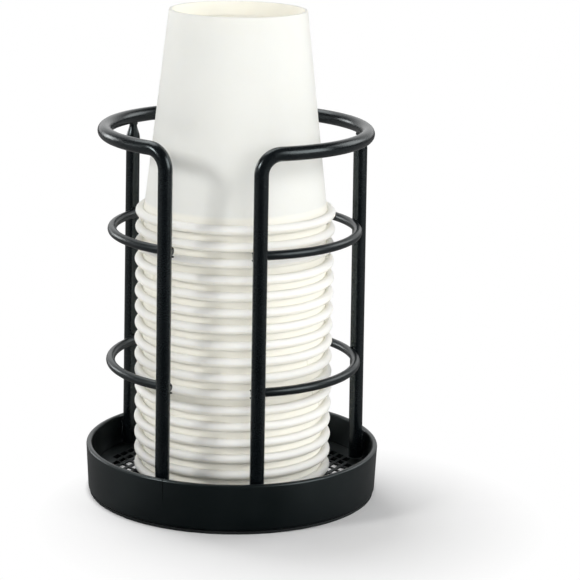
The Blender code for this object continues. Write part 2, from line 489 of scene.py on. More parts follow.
def noise(tree: NodeTree, place: NodeSocket, grain: Grain) -> NodeSocket:
    """Add a noise of a grain, from 0 to 1."""
    inputs = {"Vector": place, "Scale": 1.0 / grain.size, "Detail": grain.layers}
    return add(tree, "TexNoise", inputs).outputs["Fac"]


def spread(tree: NodeTree, value: NodeSocket, ramp: Ramp) -> NodeSocket:
    """Map a value from a ramp's first span to its second one, held at its ends."""
    ends = dict(zip(("From Min", "From Max", "To Min", "To Max"), (*ramp[0], *ramp[1])))
    return add(tree, "MapRange", {"Value": value, **ends}).outputs["Result"]


def combined(tree: NodeTree, operation: str, first: NodeSocket, second: Feed) -> NodeSocket:
    """Combine two values by a math node."""
    return add(tree, "Math", {0: first, 1: second}, operation=operation).outputs[0]


def vectors(tree: NodeTree, operation: str, first: NodeSocket, second: Feed, result: str) -> NodeSocket:
    """Combine two vectors by a vector math node, and return one of its outputs by name."""
    return add(tree, "VectorMath", {0: first, 1: second}, operation=operation).outputs[result]


def blended(tree: NodeTree, share: NodeSocket, first: Feed, second: Feed) -> NodeSocket:
    """Blend two values, the node's inputs 2 and 3, by the second one's share."""
    return add(tree, "Mix", {"Factor": share, 2: first, 3: second}).outputs[0]


def mixed(tree: NodeTree, share: NodeSocket, first: Feed, second: Feed) -> NodeSocket:
    """Mix two colours, the node's inputs 6 and 7, by the second one's share over the surface."""
    return add(tree, "Mix", {"Factor": share, 6: first, 7: second}, data_type="RGBA").outputs[2]


def upward_part(tree: NodeTree, vector: NodeSocket) -> NodeSocket:
    """Take the Z of a vector."""
    return add(tree, "SeparateXYZ", {"Vector": vector}).outputs["Z"]


def surface_tree(name: str, colours: Names, numbers: Names) -> tuple[NodeTree, Node, Node]:
    """Start a surface group with Colour, Roughness and Height out.

    Args:
        name: The group's name.
        colours: The names of its colour inputs, which each material sets.
        numbers: The names of its number inputs, which each material sets.

    Returns:
        The group, its input node and its output node.
    """
    tree = bpy.data.node_groups.new(name, "ShaderNodeTree")
    results = (("Colour", "Color"), ("Roughness", "Float"), ("Height", "Float"))
    sockets = [(key, "INPUT", "Color") for key in colours]
    sockets += [(key, "INPUT", "Float") for key in numbers]
    sockets += [(key, "OUTPUT", kind) for key, kind in results]
    for key, side, kind in sockets:
        tree.interface.new_socket(name=key, in_out=side, socket_type=f"NodeSocket{kind}")
    return tree, tree.nodes.new("NodeGroupInput"), tree.nodes.new("NodeGroupOutput")


@dataclass(frozen=True)
class PowderSurface:
    """The surface of baked powder: orange peel, uneven gloss, pinholes and dust on top."""

    peel: Grain = Grain(0.0009, 2.0)
    pinholes: Grain = Grain(0.00022, 0.0)
    drift: Grain = Grain(0.0140, 3.0)
    specks: Grain = Grain(0.0011, 4.0)
    dusted: Ramp = ((0.25, 1.0), (0.0, 1.0))
    speckled: Ramp = ((0.42, 0.72), (0.15, 1.0))
    faded: Ramp = ((0.35, 0.75), (0.0, 1.0))
    glossy: Ramp = ((0.2, 0.8), (-0.05, 0.06))
    dull_holes: Ramp = ((0.55, 0.85), (0.0, 0.10))
    deep_holes: Ramp = ((0.62, 0.85), (0.0, 0.30))

    def group(self) -> NodeTree:
        """Build the surface's node group.

        Returns:
            The group.
        """
        colours = ("Colour", "Faded colour", "Dust colour")
        tree, given, result = surface_tree("powder_surface", colours, ("Dust", "Roughness", "Peel size"))
        taken = given.outputs
        place = add(tree, "TexCoord").outputs["Object"]
        sized = vectors(tree, "DIVIDE", place, taken["Peel size"], "Vector")
        peel = noise(tree, sized, self.peel)
        pinholes = noise(tree, place, self.pinholes)
        drift = noise(tree, place, self.drift)
        normal = add(tree, "NewGeometry").outputs["Normal"]
        facing_up = spread(tree, upward_part(tree, normal), self.dusted)
        specks = spread(tree, noise(tree, place, self.specks), self.speckled)
        lying = combined(tree, "MULTIPLY", facing_up, specks)
        settled = combined(tree, "MULTIPLY", lying, taken["Dust"])
        uneven = mixed(tree, spread(tree, drift, self.faded), taken["Colour"], taken["Faded colour"])
        gloss = combined(tree, "ADD", spread(tree, drift, self.glossy), taken["Roughness"])
        made = {
            "Colour": mixed(tree, settled, uneven, taken["Dust colour"]),
            "Roughness": combined(tree, "ADD", gloss, spread(tree, pinholes, self.dull_holes)),
            "Height": combined(tree, "SUBTRACT", peel, spread(tree, pinholes, self.deep_holes)),
        }
        feed(tree, result, made)
        return tree


@dataclass(frozen=True)
class PaperSurface:
    """The surface of paper board: matted fibres, a faint cloudiness and painted warm light in the creases
    above each rim.
    """

    fibres: Grain = Grain(0.00035, 3.0)
    fibre_stretch: tuple[float, float, float] = (1.0, 1.0, 0.35)
    felt: Grain = Grain(0.0016, 2.0)
    clouds: Grain = Grain(0.0120, 2.0)
    clouded: Ramp = ((0.35, 0.70), (0.0, 0.5))
    flecked: Ramp = ((0.60, 0.80), (0.0, 0.25))
    crease_light_fade: Ramp = ((0.52, 0.76), (1.0, 0.0))
    glossy: Ramp = ((0.3, 0.7), (-0.05, 0.05))

    def group(self) -> NodeTree:
        """Build the surface's node group.

        Returns:
            The group.
        """
        colours = ("Colour", "Cloud colour", "Crease light colour")
        numbers = ("Fold", "Rim height", "Pitch", "Roughness")
        tree, given, result = surface_tree("paper_surface", colours, numbers)
        taken = given.outputs
        place = add(tree, "TexCoord").outputs["Object"]
        stretched = add(tree, "Mapping", {"Vector": place, "Scale": self.fibre_stretch})
        fibres = noise(tree, stretched.outputs["Vector"], self.fibres)
        felt = noise(tree, place, self.felt)
        clouds = spread(tree, noise(tree, place, self.clouds), self.clouded)
        cloudy = mixed(tree, clouds, taken["Colour"], taken["Cloud colour"])
        flecked = mixed(tree, spread(tree, fibres, self.flecked), cloudy, taken["Cloud colour"])
        # Painted light: a warmer, lighter colour on the wall over each rim, whose share rises and falls with
        # the height within each pitch of the column.
        above = combined(tree, "SUBTRACT", upward_part(tree, place), taken["Rim height"])
        over_rim = combined(tree, "FLOORED_MODULO", above, taken["Pitch"])
        climb = combined(tree, "DIVIDE", over_rim, taken["Pitch"])
        crease_light_share = combined(tree, "MULTIPLY", spread(tree, climb, self.crease_light_fade), taken["Fold"])
        made = {
            "Colour": mixed(tree, crease_light_share, flecked, taken["Crease light colour"]),
            "Roughness": combined(tree, "ADD", spread(tree, felt, self.glossy), taken["Roughness"]),
            "Height": combined(tree, "ADD", fibres, felt),
        }
        feed(tree, result, made)
        return tree


def surface_material(
    name: str, group: NodeTree, values: dict[str, Feed], relief: float, shader_values: dict[str, Feed]
) -> Material:
    """Make a material whose colour, gloss and relief come from a surface group.

    Args:
        name: The material's name.
        group: The surface group.
        values: What its inputs are set to.
        relief: The height of its relief.
        shader_values: What the shader's own inputs are set to.

    Returns:
        The material.
    """
    material = bpy.data.materials.new(name)
    material.use_nodes = True
    tree = material.node_tree
    surface = add(tree, "Group", values, node_tree=group).outputs
    bump = add(tree, "Bump", {"Strength": 1.0, "Distance": relief, "Height": surface["Height"]})
    looks = {
        "Base Color": surface["Colour"],
        "Roughness": surface["Roughness"],
        "Normal": bump.outputs["Normal"],
    }
    feed(tree, tree.nodes["Principled BSDF"], {**looks, **shader_values})
    return material


@dataclass(frozen=True)
class PowderCoat:
    """Black powder, sprayed and baked on steel."""

    name: str
    colour: Colour
    faded_colour: Colour
    roughness: float
    peel_size: float = 1.0
    relief: float = 0.000012
    dust: float = 0.008
    dust_colour: Colour = (0.20, 0.21, 0.22)
    shine: float = 0.65
    shine_colour: Colour = (0.86, 0.98, 1.0)

    def material(self, group: NodeTree) -> Material:
        """Make the finish.

        Args:
            group: The powder surface's group.

        Returns:
            The material.
        """
        values = {
            "Colour": opaque(self.colour),
            "Faded colour": opaque(self.faded_colour),
            "Dust colour": opaque(self.dust_colour),
            "Dust": self.dust,
            "Roughness": self.roughness,
            "Peel size": self.peel_size,
        }
        shader_values = {"Specular IOR Level": self.shine, "Specular Tint": opaque(self.shine_colour)}
        return surface_material(self.name, group, values, self.relief, shader_values)


@dataclass(frozen=True)
class CupPaper:
    """Off-white paper board, through which a little light spreads."""

    name: str
    colour: Colour = (0.868, 0.871, 0.824)
    cloud_colour: Colour = (0.848, 0.848, 0.793)
    # Painted light: a warmer, lighter colour on the wall just above each rim, standing in for light bounced
    # into the crease, and its share.
    crease_light_colour: Colour = (0.955, 0.934, 0.845)
    fold: float = 0.0
    rim_height: float = 0.00975
    pitch: float = 0.00585
    roughness: float = 0.55
    relief: float = 0.000010
    shine: float = 0.30
    glow: float = 0.15
    glow_reach: float = 0.0008
    glow_colour: Colour = (1.0, 0.90, 0.75)

    def material(self, group: NodeTree) -> Material:
        """Make the finish.

        Args:
            group: The paper surface's group.

        Returns:
            The material.
        """
        values = {
            "Colour": opaque(self.colour),
            "Cloud colour": opaque(self.cloud_colour),
            "Crease light colour": opaque(self.crease_light_colour),
            "Fold": self.fold,
            "Rim height": self.rim_height,
            "Pitch": self.pitch,
            "Roughness": self.roughness,
        }
        shader_values = {
            "Subsurface Weight": self.glow,
            "Subsurface Radius": self.glow_colour,
            "Subsurface Scale": self.glow_reach,
            "Specular IOR Level": self.shine,
        }
        return surface_material(self.name, group, values, self.relief, shader_values)


# The holder


@dataclass(frozen=True)
class Holder:
    """What every part of the holder is sized from."""

    post_radius: float = 0.04755
    frame_wire: float = 0.0050
    ring_wire: float = 0.0032
    hoop_height: float = 0.1320
    hoop_set_in: float = 0.0012
    hoop_bend: float = 0.0070
    floor_top: float = 0.0078
    band_top: float = 0.0181
    front_azimuth: float = 20.5
    back_azimuth: float = 116.0
    seat_gap: float = 0.0003

    @property
    def hoop_radius(self) -> float:
        """Radius of the hoop's middle line."""
        return self.post_radius - self.hoop_set_in

    @property
    def foot(self) -> float:
        """Height of the posts' feet."""
        return self.floor_top + self.seat_gap

    @property
    def bend_foot(self) -> float:
        """Height at which the front posts' bends begin."""
        return self.hoop_height - self.hoop_bend

    def leaning_point(self, azimuth: float, height: float, top_radius: float, top_height: float) -> Vector:
        """Return a point on the middle line of a post that leans to its top."""
        lean = (top_radius - self.post_radius) / (top_height - self.foot)
        return around(azimuth, self.post_radius + lean * (height - self.foot), height)

    def back_post_point(self, side: Side, height: float) -> Vector:
        """Return the point of a back post's middle line at a height."""
        azimuth = side.value * self.back_azimuth
        return self.leaning_point(azimuth, height, self.hoop_radius, self.hoop_height)

    def front_post_point(self, side: Side, height: float) -> Vector:
        """Return the point of a front post's middle line at a height."""
        top_radius = math.hypot(self.hoop_radius, self.hoop_bend)
        return self.leaning_point(side.value * self.front_azimuth, height, top_radius, self.bend_foot)


@dataclass
class Tray:
    """The round tray: its rolled band, the foot ring under it and the mesh floor inside."""

    holder: Holder
    band_wall: float = 0.0020
    band_spread: float = 0.0007
    foot_height: float = 0.0010
    foot_inset: float = 0.0005
    foot_ease: float = 0.00025
    top_round: float = 0.00085
    bottom_round: float = 0.00085
    seam_azimuth: float = -16.8
    seam_width: float = 0.00022
    seam_depth: float = 0.00005
    # Place of the groove's middle, as a share of the band's spread
    groove_out: float = 1.5
    nick: float = 0.0005
    nick_steps: int = 3
    floor_sheet: float = 0.0012
    floor_border: float = 0.0030
    diamond_long: float = 0.0076
    diamond_short: float = 0.0047
    spare_diamonds: int = 6
    strand: float = 0.00105
    strand_tilt: float = 0.00032
    field_turn: float = 10.0
    sides: int = 224
    round_steps: int = 5
    ease_steps: int = 3
    turned_corner: float = 32.0
    floor_corner: float = 40.0

    @property
    def floor_radius(self) -> float:
        """Radius of the floor's disc."""
        return self.holder.post_radius + self.holder.frame_wire / 2

    @property
    def band_bottom(self) -> float:
        """Height of the band's lower edge."""
        return self.foot_height + self.holder.seat_gap

    @property
    def band_foot_inner(self) -> float:
        """Inner radius of the band at its lower edge."""
        slope = self.band_spread / (self.holder.band_top - self.band_bottom)
        floor_bottom = self.holder.floor_top - self.floor_sheet
        return self.floor_radius + self.holder.seat_gap - slope * (floor_bottom - self.band_bottom)

    def rolled_band(self) -> Object:
        """Roll the band, with rounded edges and the seam where its ends meet.

        Returns:
            The band.
        """
        inner = self.band_foot_inner
        outer = inner + self.band_wall
        low, high = self.band_bottom, self.holder.band_top
        top, bottom = self.top_round, self.bottom_round
        outline = arc((outer - bottom, low + bottom), bottom, -90, 0, self.round_steps)
        outline += arc((outer + self.band_spread - top, high - top), top, 0, 90, self.round_steps)
        outline += arc((inner + self.band_spread + top, high - top), top, 90, 180, self.round_steps)
        outline += arc((inner + bottom, low + bottom), bottom, 180, 270, self.round_steps)
        band = turned("rolled_band", outline, self.sides, ring=True)
        carve(band, self.seam_groove(outer), "DIFFERENCE")
        carve(band, self.seam_nick(outer), "DIFFERENCE")
        return band

    def seam_groove(self, outer: float) -> Object:
        """Make the sliver that marks the seam down the band's outer face."""
        clear_selection()
        height = self.holder.band_top + self.holder.frame_wire
        bpy.ops.mesh.primitive_cube_add(
            size=1.0,
            location=around(self.seam_azimuth, outer + self.band_spread * self.groove_out, height / 2),
            rotation=(0.0, 0.0, math.radians(self.seam_azimuth)),
            scale=(self.seam_width, 2 * (self.seam_depth + self.band_spread), height),
        )
        return settle("seam_groove")

    def seam_nick(self, outer: float) -> Object:
        """Make the small ball that marks the nick where the seam meets the top edge."""
        clear_selection()
        radius = outer + self.band_spread - self.top_round
        place = around(self.seam_azimuth, radius, self.holder.band_top + self.nick / 2)
        steps = self.nick_steps
        bpy.ops.mesh.primitive_ico_sphere_add(subdivisions=steps, radius=self.nick, location=place)
        return settle("seam_nick")

    def foot_ring(self) -> Object:
        """Turn the foot ring, with its lower edges eased.

        Returns:
            The ring.
        """
        inner = self.band_foot_inner
        outer = inner + self.band_wall - self.foot_inset
        ease = self.foot_ease
        outline = arc((outer - ease, ease), ease, -90, 0, self.ease_steps)
        outline += [(outer, self.foot_height), (inner, self.foot_height)]
        outline += arc((inner + ease, ease), ease, 180, 270, self.ease_steps)
        return turned("foot_pad_ring", outline, self.sides, ring=True)

    def mesh_floor(self) -> Object:
        """Slit and stretch the floor's field of diamonds, inside its plain border.

        Returns:
            The floor.
        """
        middle = (0.0, 0.0, self.holder.floor_top - self.floor_sheet / 2)
        across = math.ceil(self.floor_radius / min(self.diamond_long, self.diamond_short))
        count = 2 * across + self.spare_diamonds
        clear_selection()
        bpy.ops.mesh.primitive_grid_add(
            x_subdivisions=count,
            y_subdivisions=count,
            size=count / math.sqrt(2.0),
            location=middle,
            rotation=(0.0, 0.0, math.radians(45.0)),
        )
        floor = settle("mesh_floor")
        with editing(floor, Pick.FACES, "SELECT"):
            stretch = (self.diamond_short, self.diamond_long, 1.0)
            bpy.ops.transform.resize(value=stretch, center_override=middle)
            turn = -math.radians(self.field_turn)
            bpy.ops.transform.rotate(value=turn, orient_axis="Z", center_override=middle)
            select(floor, Pick.FACES, self.in_field)
            bpy.ops.mesh.inset(thickness=self.strand / 2, use_individual=True, use_even_offset=True)
            self.tilt_strands(floor)
            bpy.ops.mesh.delete(type="FACE")
        self.thicken_and_trim(floor)
        return floor

    def in_field(self, face: bmesh.types.BMFace) -> bool:
        """Say whether a face is wholly inside the floor's plain border."""
        return all(vert.co.xy.length < self.floor_radius - self.floor_border for vert in face.verts)

    def tilt_strands(self, floor: Object) -> None:
        """Lift one side of each diamond and lower the other, as stretching does.

        Args:
            floor: The floor in edit mode, with the insides of its diamonds selected.
        """
        work = bmesh.from_edit_mesh(floor.data)
        turn = math.radians(self.field_turn)
        across = Vector((math.cos(turn), math.sin(turn), 0.0))
        for face in (face for face in work.faces if face.select):
            middle = face.calc_center_median()
            for vert in face.verts:
                share = (vert.co - middle).dot(across) / (self.diamond_short / 2)
                vert.co.z += self.strand_tilt * share
        bmesh.update_edit_mesh(floor.data)

    def thicken_and_trim(self, floor: Object) -> None:
        """Give the floor its sheet's thickness and cut it round.

        Args:
            floor: The floor as a surface.
        """
        sheet = floor.modifiers.new("sheet", "SOLIDIFY")
        sheet.thickness = self.floor_sheet - 2 * self.strand_tilt
        sheet.offset = 0.0
        clear_selection()
        bpy.ops.mesh.primitive_cylinder_add(
            vertices=self.sides,
            radius=self.floor_radius,
            depth=self.holder.floor_top,
            location=(0.0, 0.0, self.holder.floor_top),
        )
        carve(floor, settle("floor_disc"), "INTERSECT")

    def build(self, band_coat: Material, floor_coat: Material, rubber: Material) -> list[Object]:
        """Build the tray's pieces and dress them.

        Args:
            band_coat: The band's finish.
            floor_coat: The floor's finish.
            rubber: The foot ring's finish.

        Returns:
            The pieces.
        """
        return [
            dress(self.rolled_band(), band_coat, "tray_band", self.turned_corner),
            dress(self.foot_ring(), rubber, "foot_ring", self.turned_corner),
            dress(self.mesh_floor(), floor_coat, "tray_floor", self.floor_corner),
        ]


@dataclass
class Cage:
    """The wire cage: hoop and front posts in one wire, back posts, tie rings and their welds."""

    holder: Holder
    upper_ring: float = 0.0967
    lower_ring: float = 0.0486
    ring_set_down: float = 0.0011
    ring_reach_right: float = 0.0019
    ring_reach_left: float = 0.0010
    ring_end_round: float = 0.0005
    ring_sides: int = 24
    post_sides: int = 32
    post_ease: float = 0.0003
    ease_steps: int = 3
    neck_width: float = 0.0026
    neck_height: float = 0.0054
    neck_shares: tuple[float, ...] = (0.0, 0.12, 0.26, 0.42, 0.58, 0.74, 0.88)
    neck_flare: tuple[tuple[float, float], ...] = ((1.06, -0.0001), (1.30, 0.0004), (1.45, 0.0010))
    hoop_steps: int = 132
    bend_steps: int = 14
    ring_steps: int = 120
    neck_bead: WeldBead = WeldBead(0.0036, 0.0022, 0.0015)
    neck_bead_drop: float = 0.0001
    neck_bead_azimuth: float = 100.0
    neck_seed: int = 7
    ring_bead: WeldBead = WeldBead(0.0052, 0.0013, 0.0013)
    ring_bead_out: float = 0.45
    ring_bead_up: float = 0.42
    upper_ring_seed: int = 60
    lower_ring_seed: int = 80
    post_seed_step: int = 3
    foot_bead: WeldBead = WeldBead(0.0088, 0.0012, 0.0016)
    foot_bead_reach: float = 0.40
    foot_seeds: tuple[int, ...] = (40, 20, 30, 50)
    corner: float = 50.0

    def hoop_wire(self) -> Object:
        """Bend the long wire: up the right front post, round the back, down the left one.

        Returns:
            The wire.
        """
        holder = self.holder
        turn = math.degrees(math.atan2(holder.hoop_bend, holder.hoop_radius))
        bend_end = holder.front_azimuth + turn
        start = holder.front_post_point(Side.RIGHT, holder.foot)
        rise = holder.front_post_point(Side.RIGHT, holder.bend_foot) - start
        onward = around(bend_end + 90.0, holder.hoop_bend)
        first_centre = start + rise + onward
        last_centre = Vector((-first_centre.x, first_centre.y, first_centre.z))
        first_axis = onward.cross(UP).normalized() * -1.0
        last_axis = Vector((-onward.x, onward.y, 0.0)).cross(UP).normalized()
        moves = [
            Straight(rise),
            Bend(first_centre, first_axis, 90.0, self.bend_steps),
            Bend(UP * holder.hoop_height, UP, 360.0 - 2.0 * bend_end, self.hoop_steps),
            Bend(last_centre, last_axis, 90.0, self.bend_steps),
            Straight(Vector((rise.x, -rise.y, -rise.z))),
        ]
        return RoundWire(holder.frame_wire).bent("hoop_wire", start, UP, moves)

    def back_post(self, side: Side) -> Object:
        """Turn a back post, drawn in to a neck that its weld fills out to the hoop.

        Args:
            side: The side it stands on.

        Returns:
            The post.
        """
        holder = self.holder
        foot = holder.back_post_point(side, holder.foot)
        lean = holder.back_post_point(side, holder.hoop_height - holder.frame_wire / 2) - foot
        full, neck = holder.frame_wire / 2, self.neck_width / 2
        top = lean.length
        ease = self.post_ease
        outline = arc((full - ease, ease), ease, -90, 0, self.ease_steps)
        for share in self.neck_shares:
            width = neck + (full - neck) * math.cos(share * math.pi / 2) ** 2
            outline.append((width, top - self.neck_height * (1.0 - share)))
        outline += [(neck * wide, top + above) for wide, above in self.neck_flare]
        post = turned(f"{side.name.lower()}_back_post", outline, self.post_sides)
        post.matrix_world = Matrix.Translation(foot) @ lean.to_track_quat("Z", "Y").to_matrix().to_4x4()
        take(post)
        bpy.ops.object.transform_apply(location=True, rotation=True, scale=True)
        place = foot + lean * (1.0 - self.neck_bead_drop / top)
        along = around(side.value * self.neck_bead_azimuth, 1.0)
        join(post, [self.neck_bead.laid("neck_weld", place, along, self.neck_seed)])
        return post

    def tie_ring(self, name: str, height: float, seed: int) -> Object:
        """Bend a tie ring inside the posts and weld it to each of them.

        Args:
            name: The ring's name.
            height: The height of its middle line.
            seed: Chooses the lumps of its welds.

        Returns:
            The ring with its welds.
        """
        holder = self.holder
        wire = RoundWire(holder.ring_wire, sides=self.ring_sides, end_round=self.ring_end_round)
        post_radius = holder.back_post_point(Side.RIGHT, height).xy.length
        radius = post_radius - (holder.frame_wire + holder.ring_wire) / 2 + self.ring_set_down
        first = holder.front_azimuth - math.degrees(self.ring_reach_right / radius)
        last = holder.front_azimuth - math.degrees(self.ring_reach_left / radius)
        start = around(first, radius, height)
        moves = [Bend(UP * height, UP, 360.0 - first - last, self.ring_steps)]
        ring = wire.bent(name, start, around(first + 90.0, 1.0), moves)
        reach = radius + holder.ring_wire * self.ring_bead_out
        beads = []
        for number, azimuth in enumerate(self.post_azimuths()):
            along = around(azimuth + 90.0, 1.0)
            for above in (-1, 1):
                place = around(azimuth, reach, height + above * holder.ring_wire * self.ring_bead_up)
                own_seed = seed + self.post_seed_step * number + above
                beads.append(self.ring_bead.laid("ring_weld", place, along, own_seed))
        join(ring, beads)
        return ring

    def post_azimuths(self) -> tuple[float, ...]:
        """Return the azimuths of the four posts, from the left back one to the right back one."""
        front, back = self.holder.front_azimuth, self.holder.back_azimuth
        return (-back, -front, front, back)

    def foot_welds(self, azimuth: float, seed: int) -> list[Object]:
        """Lay the two upright beads that fasten a post to the band.

        Args:
            azimuth: The post's azimuth.
            seed: Chooses their lumps.

        Returns:
            The beads.
        """
        holder = self.holder
        beside = holder.frame_wire * self.foot_bead_reach
        reach = holder.post_radius + beside
        shift = math.degrees(beside / reach)
        height = (holder.foot + holder.band_top) / 2 - holder.seat_gap
        places = (around(azimuth + side * shift, reach, height) for side in (-1, 1))
        return [self.foot_bead.laid("foot_weld", place, UP, seed + n) for n, place in enumerate(places)]

    def build(self, coat: Material, ring_coat: Material) -> list[Object]:
        """Build the cage's pieces and dress them.

        Args:
            coat: The frame wire's finish.
            ring_coat: The finish of the thinner tie rings.

        Returns:
            The pieces.
        """
        hoop = self.hoop_wire()
        left_post, right_post = (self.back_post(side) for side in Side)
        posts = (left_post, hoop, hoop, right_post)
        for post, azimuth, seed in zip(posts, self.post_azimuths(), self.foot_seeds):
            join(post, self.foot_welds(azimuth, seed))
        upper = self.tie_ring("upper_tie_ring", self.upper_ring, self.upper_ring_seed)
        lower = self.tie_ring("lower_tie_ring", self.lower_ring, self.lower_ring_seed)
        made = (
            (hoop, coat, "hoop_and_front_posts"),
            (left_post, coat, "back_post_left"),
            (right_post, coat, "back_post_right"),
            (upper, ring_coat, "upper_ring"),
            (lower, ring_coat, "lower_ring"),
        )
        return [dress(piece, finish, node, self.corner) for piece, finish, node in made]


# The cups


@dataclass
class CupColumn:
    """The nested paper cups, mouth down, each over the one below."""

    count: int = 17
    mouth_radius: float = 0.0326
    base_radius: float = 0.0242
    height: float = 0.0716
    paper: float = 0.00035
    roll: float = 0.0033
    roll_gap: float = 8.0
    skirt: float = 0.0010
    recess: float = 0.0052
    knurl: float = 0.00007
    # Shares of the height, the paper, the roll or the recess
    wall_shares: tuple[float, ...] = (0.25, 0.5, 0.75, 0.93)
    edge_ease: float = 0.8
    crease_out: float = 0.15
    crease_up: float = 0.62
    shoulder_up: float = 0.80
    under_rim_share: float = 0.10
    knurl_foot: float = 0.45
    knurl_below: float = 0.6
    seam_foot: float = 0.45
    seam_top: float = 0.98
    crease_light_foot: float = 0.28
    # Largest Z of an upright face's direction
    upright: float = 0.5
    # Angles, lengths and counts
    seam_width: float = 7.5
    seam_step: float = 0.00016
    crease_light_top: float = 0.0045
    wander: float = 0.00012
    sides: int = 120
    roll_steps: int = 22
    ease_steps: int = 3
    top_seam_azimuth: float = 146.0
    seam_azimuths: Span = (60.0, 300.0)
    seed: int = 11
    corner: float = 38.0

    @property
    def skirt_radius(self) -> float:
        """Radius inside the skirt of the base."""
        return self.base_radius - self.skirt

    @property
    def under_rim(self) -> float:
        """Height, from the rim's middle, below which the rolled rim faces down."""
        return -self.roll * self.under_rim_share

    def outline(self) -> Outline:
        """Return the outline of a cup from its inner ceiling, round the rim, to its base.

        Returns:
            The points, as radius and height above the rim's middle.
        """
        taper = (self.mouth_radius - self.base_radius) / self.height
        recess_floor = self.height - self.recess
        ceiling = recess_floor - self.paper
        roll = self.roll / 2
        middle = (self.mouth_radius - self.paper + roll, 0.0)
        meet = 180.0 - math.degrees(math.acos((roll - self.paper) / roll))
        ease = self.paper * self.edge_ease
        top = self.height - ease
        crease = (self.mouth_radius + self.paper * self.crease_out, roll * self.crease_up)
        shoulder = (self.mouth_radius - taper * roll, roll * self.shoulder_up)
        points = [(self.mouth_radius - self.paper - taper * ceiling, ceiling)]
        points += arc(middle, roll, -180.0, meet - self.roll_gap, self.roll_steps)
        points += [crease, shoulder]
        for rise in (self.crease_light_top, *(self.height * share for share in self.wall_shares)):
            points.append((self.mouth_radius - taper * rise, rise))
        points += arc((self.base_radius - ease, top), ease, 0.0, 90.0, self.ease_steps)
        inner = self.skirt_radius
        points += arc((inner + ease, top), ease, 90.0, 180.0, self.ease_steps)
        points += [(inner, self.height - self.recess * self.knurl_foot), (inner, recess_floor + ease)]
        points += [(inner - ease, recess_floor)]
        return points

    def pattern_cup(self, finishes: list[Material]) -> Object:
        """Model one cup: its turned shape, its side seam and the knurled skirt of its base.

        Args:
            finishes: Those of the open paper and of its lighter copies with painted light: in the creases
                above the rim, under the rim and in the base's recess, and on the rim.

        Returns:
            The cup, its rim's middle at height zero.
        """
        cup = turned("cup_pattern", self.outline(), self.sides)
        for finish in finishes:
            cup.data.materials.append(finish)
        with editing(cup, Pick.VERTS):
            select(cup, Pick.VERTS, self.on_knurl)
            widening = 1.0 - self.knurl / self.skirt_radius
            bpy.ops.transform.resize(value=(widening, widening, 1.0), center_override=ORIGIN)
        with editing(cup, Pick.FACES):
            select(cup, Pick.FACES, self.on_seam)
            bpy.ops.mesh.extrude_region_shrink_fatten(TRANSFORM_OT_shrink_fatten={"value": self.seam_step})
            # Lit copies of the paper, each a painted light: warm light in the creases above the rim, bounce
            # light under the rim and in the recess, and light on the rim.
            for index, test in enumerate((self.on_crease_light, self.on_bounce_light, self.on_lit_rim), start=1):
                select(cup, Pick.FACES, test)
                cup.active_material_index = index
                bpy.ops.object.material_slot_assign()
        smooth(cup, self.corner)
        return cup

    def on_knurl(self, vert: bmesh.types.BMVert) -> bool:
        """Say whether a point is on every other column of the base's skirt."""
        place = vert.co
        off_skirt = abs(place.xy.length - self.skirt_radius) > self.paper / 2
        if place.z < self.height - self.recess * self.knurl_below or off_skirt:
            return False
        column = round(math.degrees(math.atan2(place.y, place.x)) / 360.0 * self.sides)
        return column % 2 == 0

    def on_seam(self, face: bmesh.types.BMFace) -> bool:
        """Say whether a face is on the strip of outer wall that overlaps at the seam."""
        middle = face.calc_center_median()
        bearing = math.degrees(math.atan2(middle.x, -middle.y))
        on_wall = self.roll * self.seam_foot < middle.z < self.height * self.seam_top
        upright = abs(face.normal.z) < self.upright
        outside = face.normal.xy.dot(middle.xy) > 0.0
        return on_wall and upright and outside and 0.0 < bearing < self.seam_width

    def on_crease_light(self, face: bmesh.types.BMFace) -> bool:
        """Say whether a face is on the outer wall just above the rolled rim, where painted warm light fills
        the crease.
        """
        middle = face.calc_center_median()
        outside = face.normal.xy.dot(middle.xy) > 0.0
        close = middle.xy.length < self.mouth_radius + self.seam_step * 2
        return outside and close and self.roll * self.crease_light_foot < middle.z < self.crease_light_top

    def on_bounce_light(self, face: bmesh.types.BMFace) -> bool:
        """Say whether a face is inside the base's skirt or under the rolled rim, where a lighter, warmer
        copy of the paper paints bounce light.
        """
        middle = face.calc_center_median()
        recessed = middle.z > self.height - self.recess - self.paper / 4
        return middle.z < self.under_rim or (recessed and middle.xy.length < self.skirt_radius)

    def on_lit_rim(self, face: bmesh.types.BMFace) -> bool:
        """Say whether a face is on the upper side of the rolled rim, where a lighter copy of the paper
        paints light.
        """
        middle = face.calc_center_median()
        return middle.xy.length > self.mouth_radius + self.paper and middle.z >= self.under_rim

    def stacked(self, pattern: Object, number: int, drift: random.Random) -> Object:
        """Copy the pattern onto the column, each copy with its own seam and a small sideways shift.

        Args:
            pattern: The cup to copy.
            number: The cup's number, from the bottom.
            drift: Chooses how it stands.

        Returns:
            The cup, in its place.
        """
        node = f"cup_{number:02d}"
        _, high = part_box(node)
        take(pattern)
        bpy.ops.object.duplicate()
        cup = bpy.context.object
        cup.name = f"paper_{node}"
        cup.data.name = cup.name
        top = number == self.count
        seam = self.top_seam_azimuth if top else drift.uniform(*self.seam_azimuths)
        shift = Vector((drift.uniform(-1.0, 1.0), drift.uniform(-1.0, 1.0), 0.0)) * self.wander
        cup.rotation_euler.z = math.radians(seam)
        cup.location = shift + UP * (high[2] - self.height)
        bpy.ops.object.transform_apply(location=True, rotation=True, scale=True)
        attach(cup, (Body.TOP_CUP if top else Body.COLUMN).value)
        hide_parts(node)
        return cup

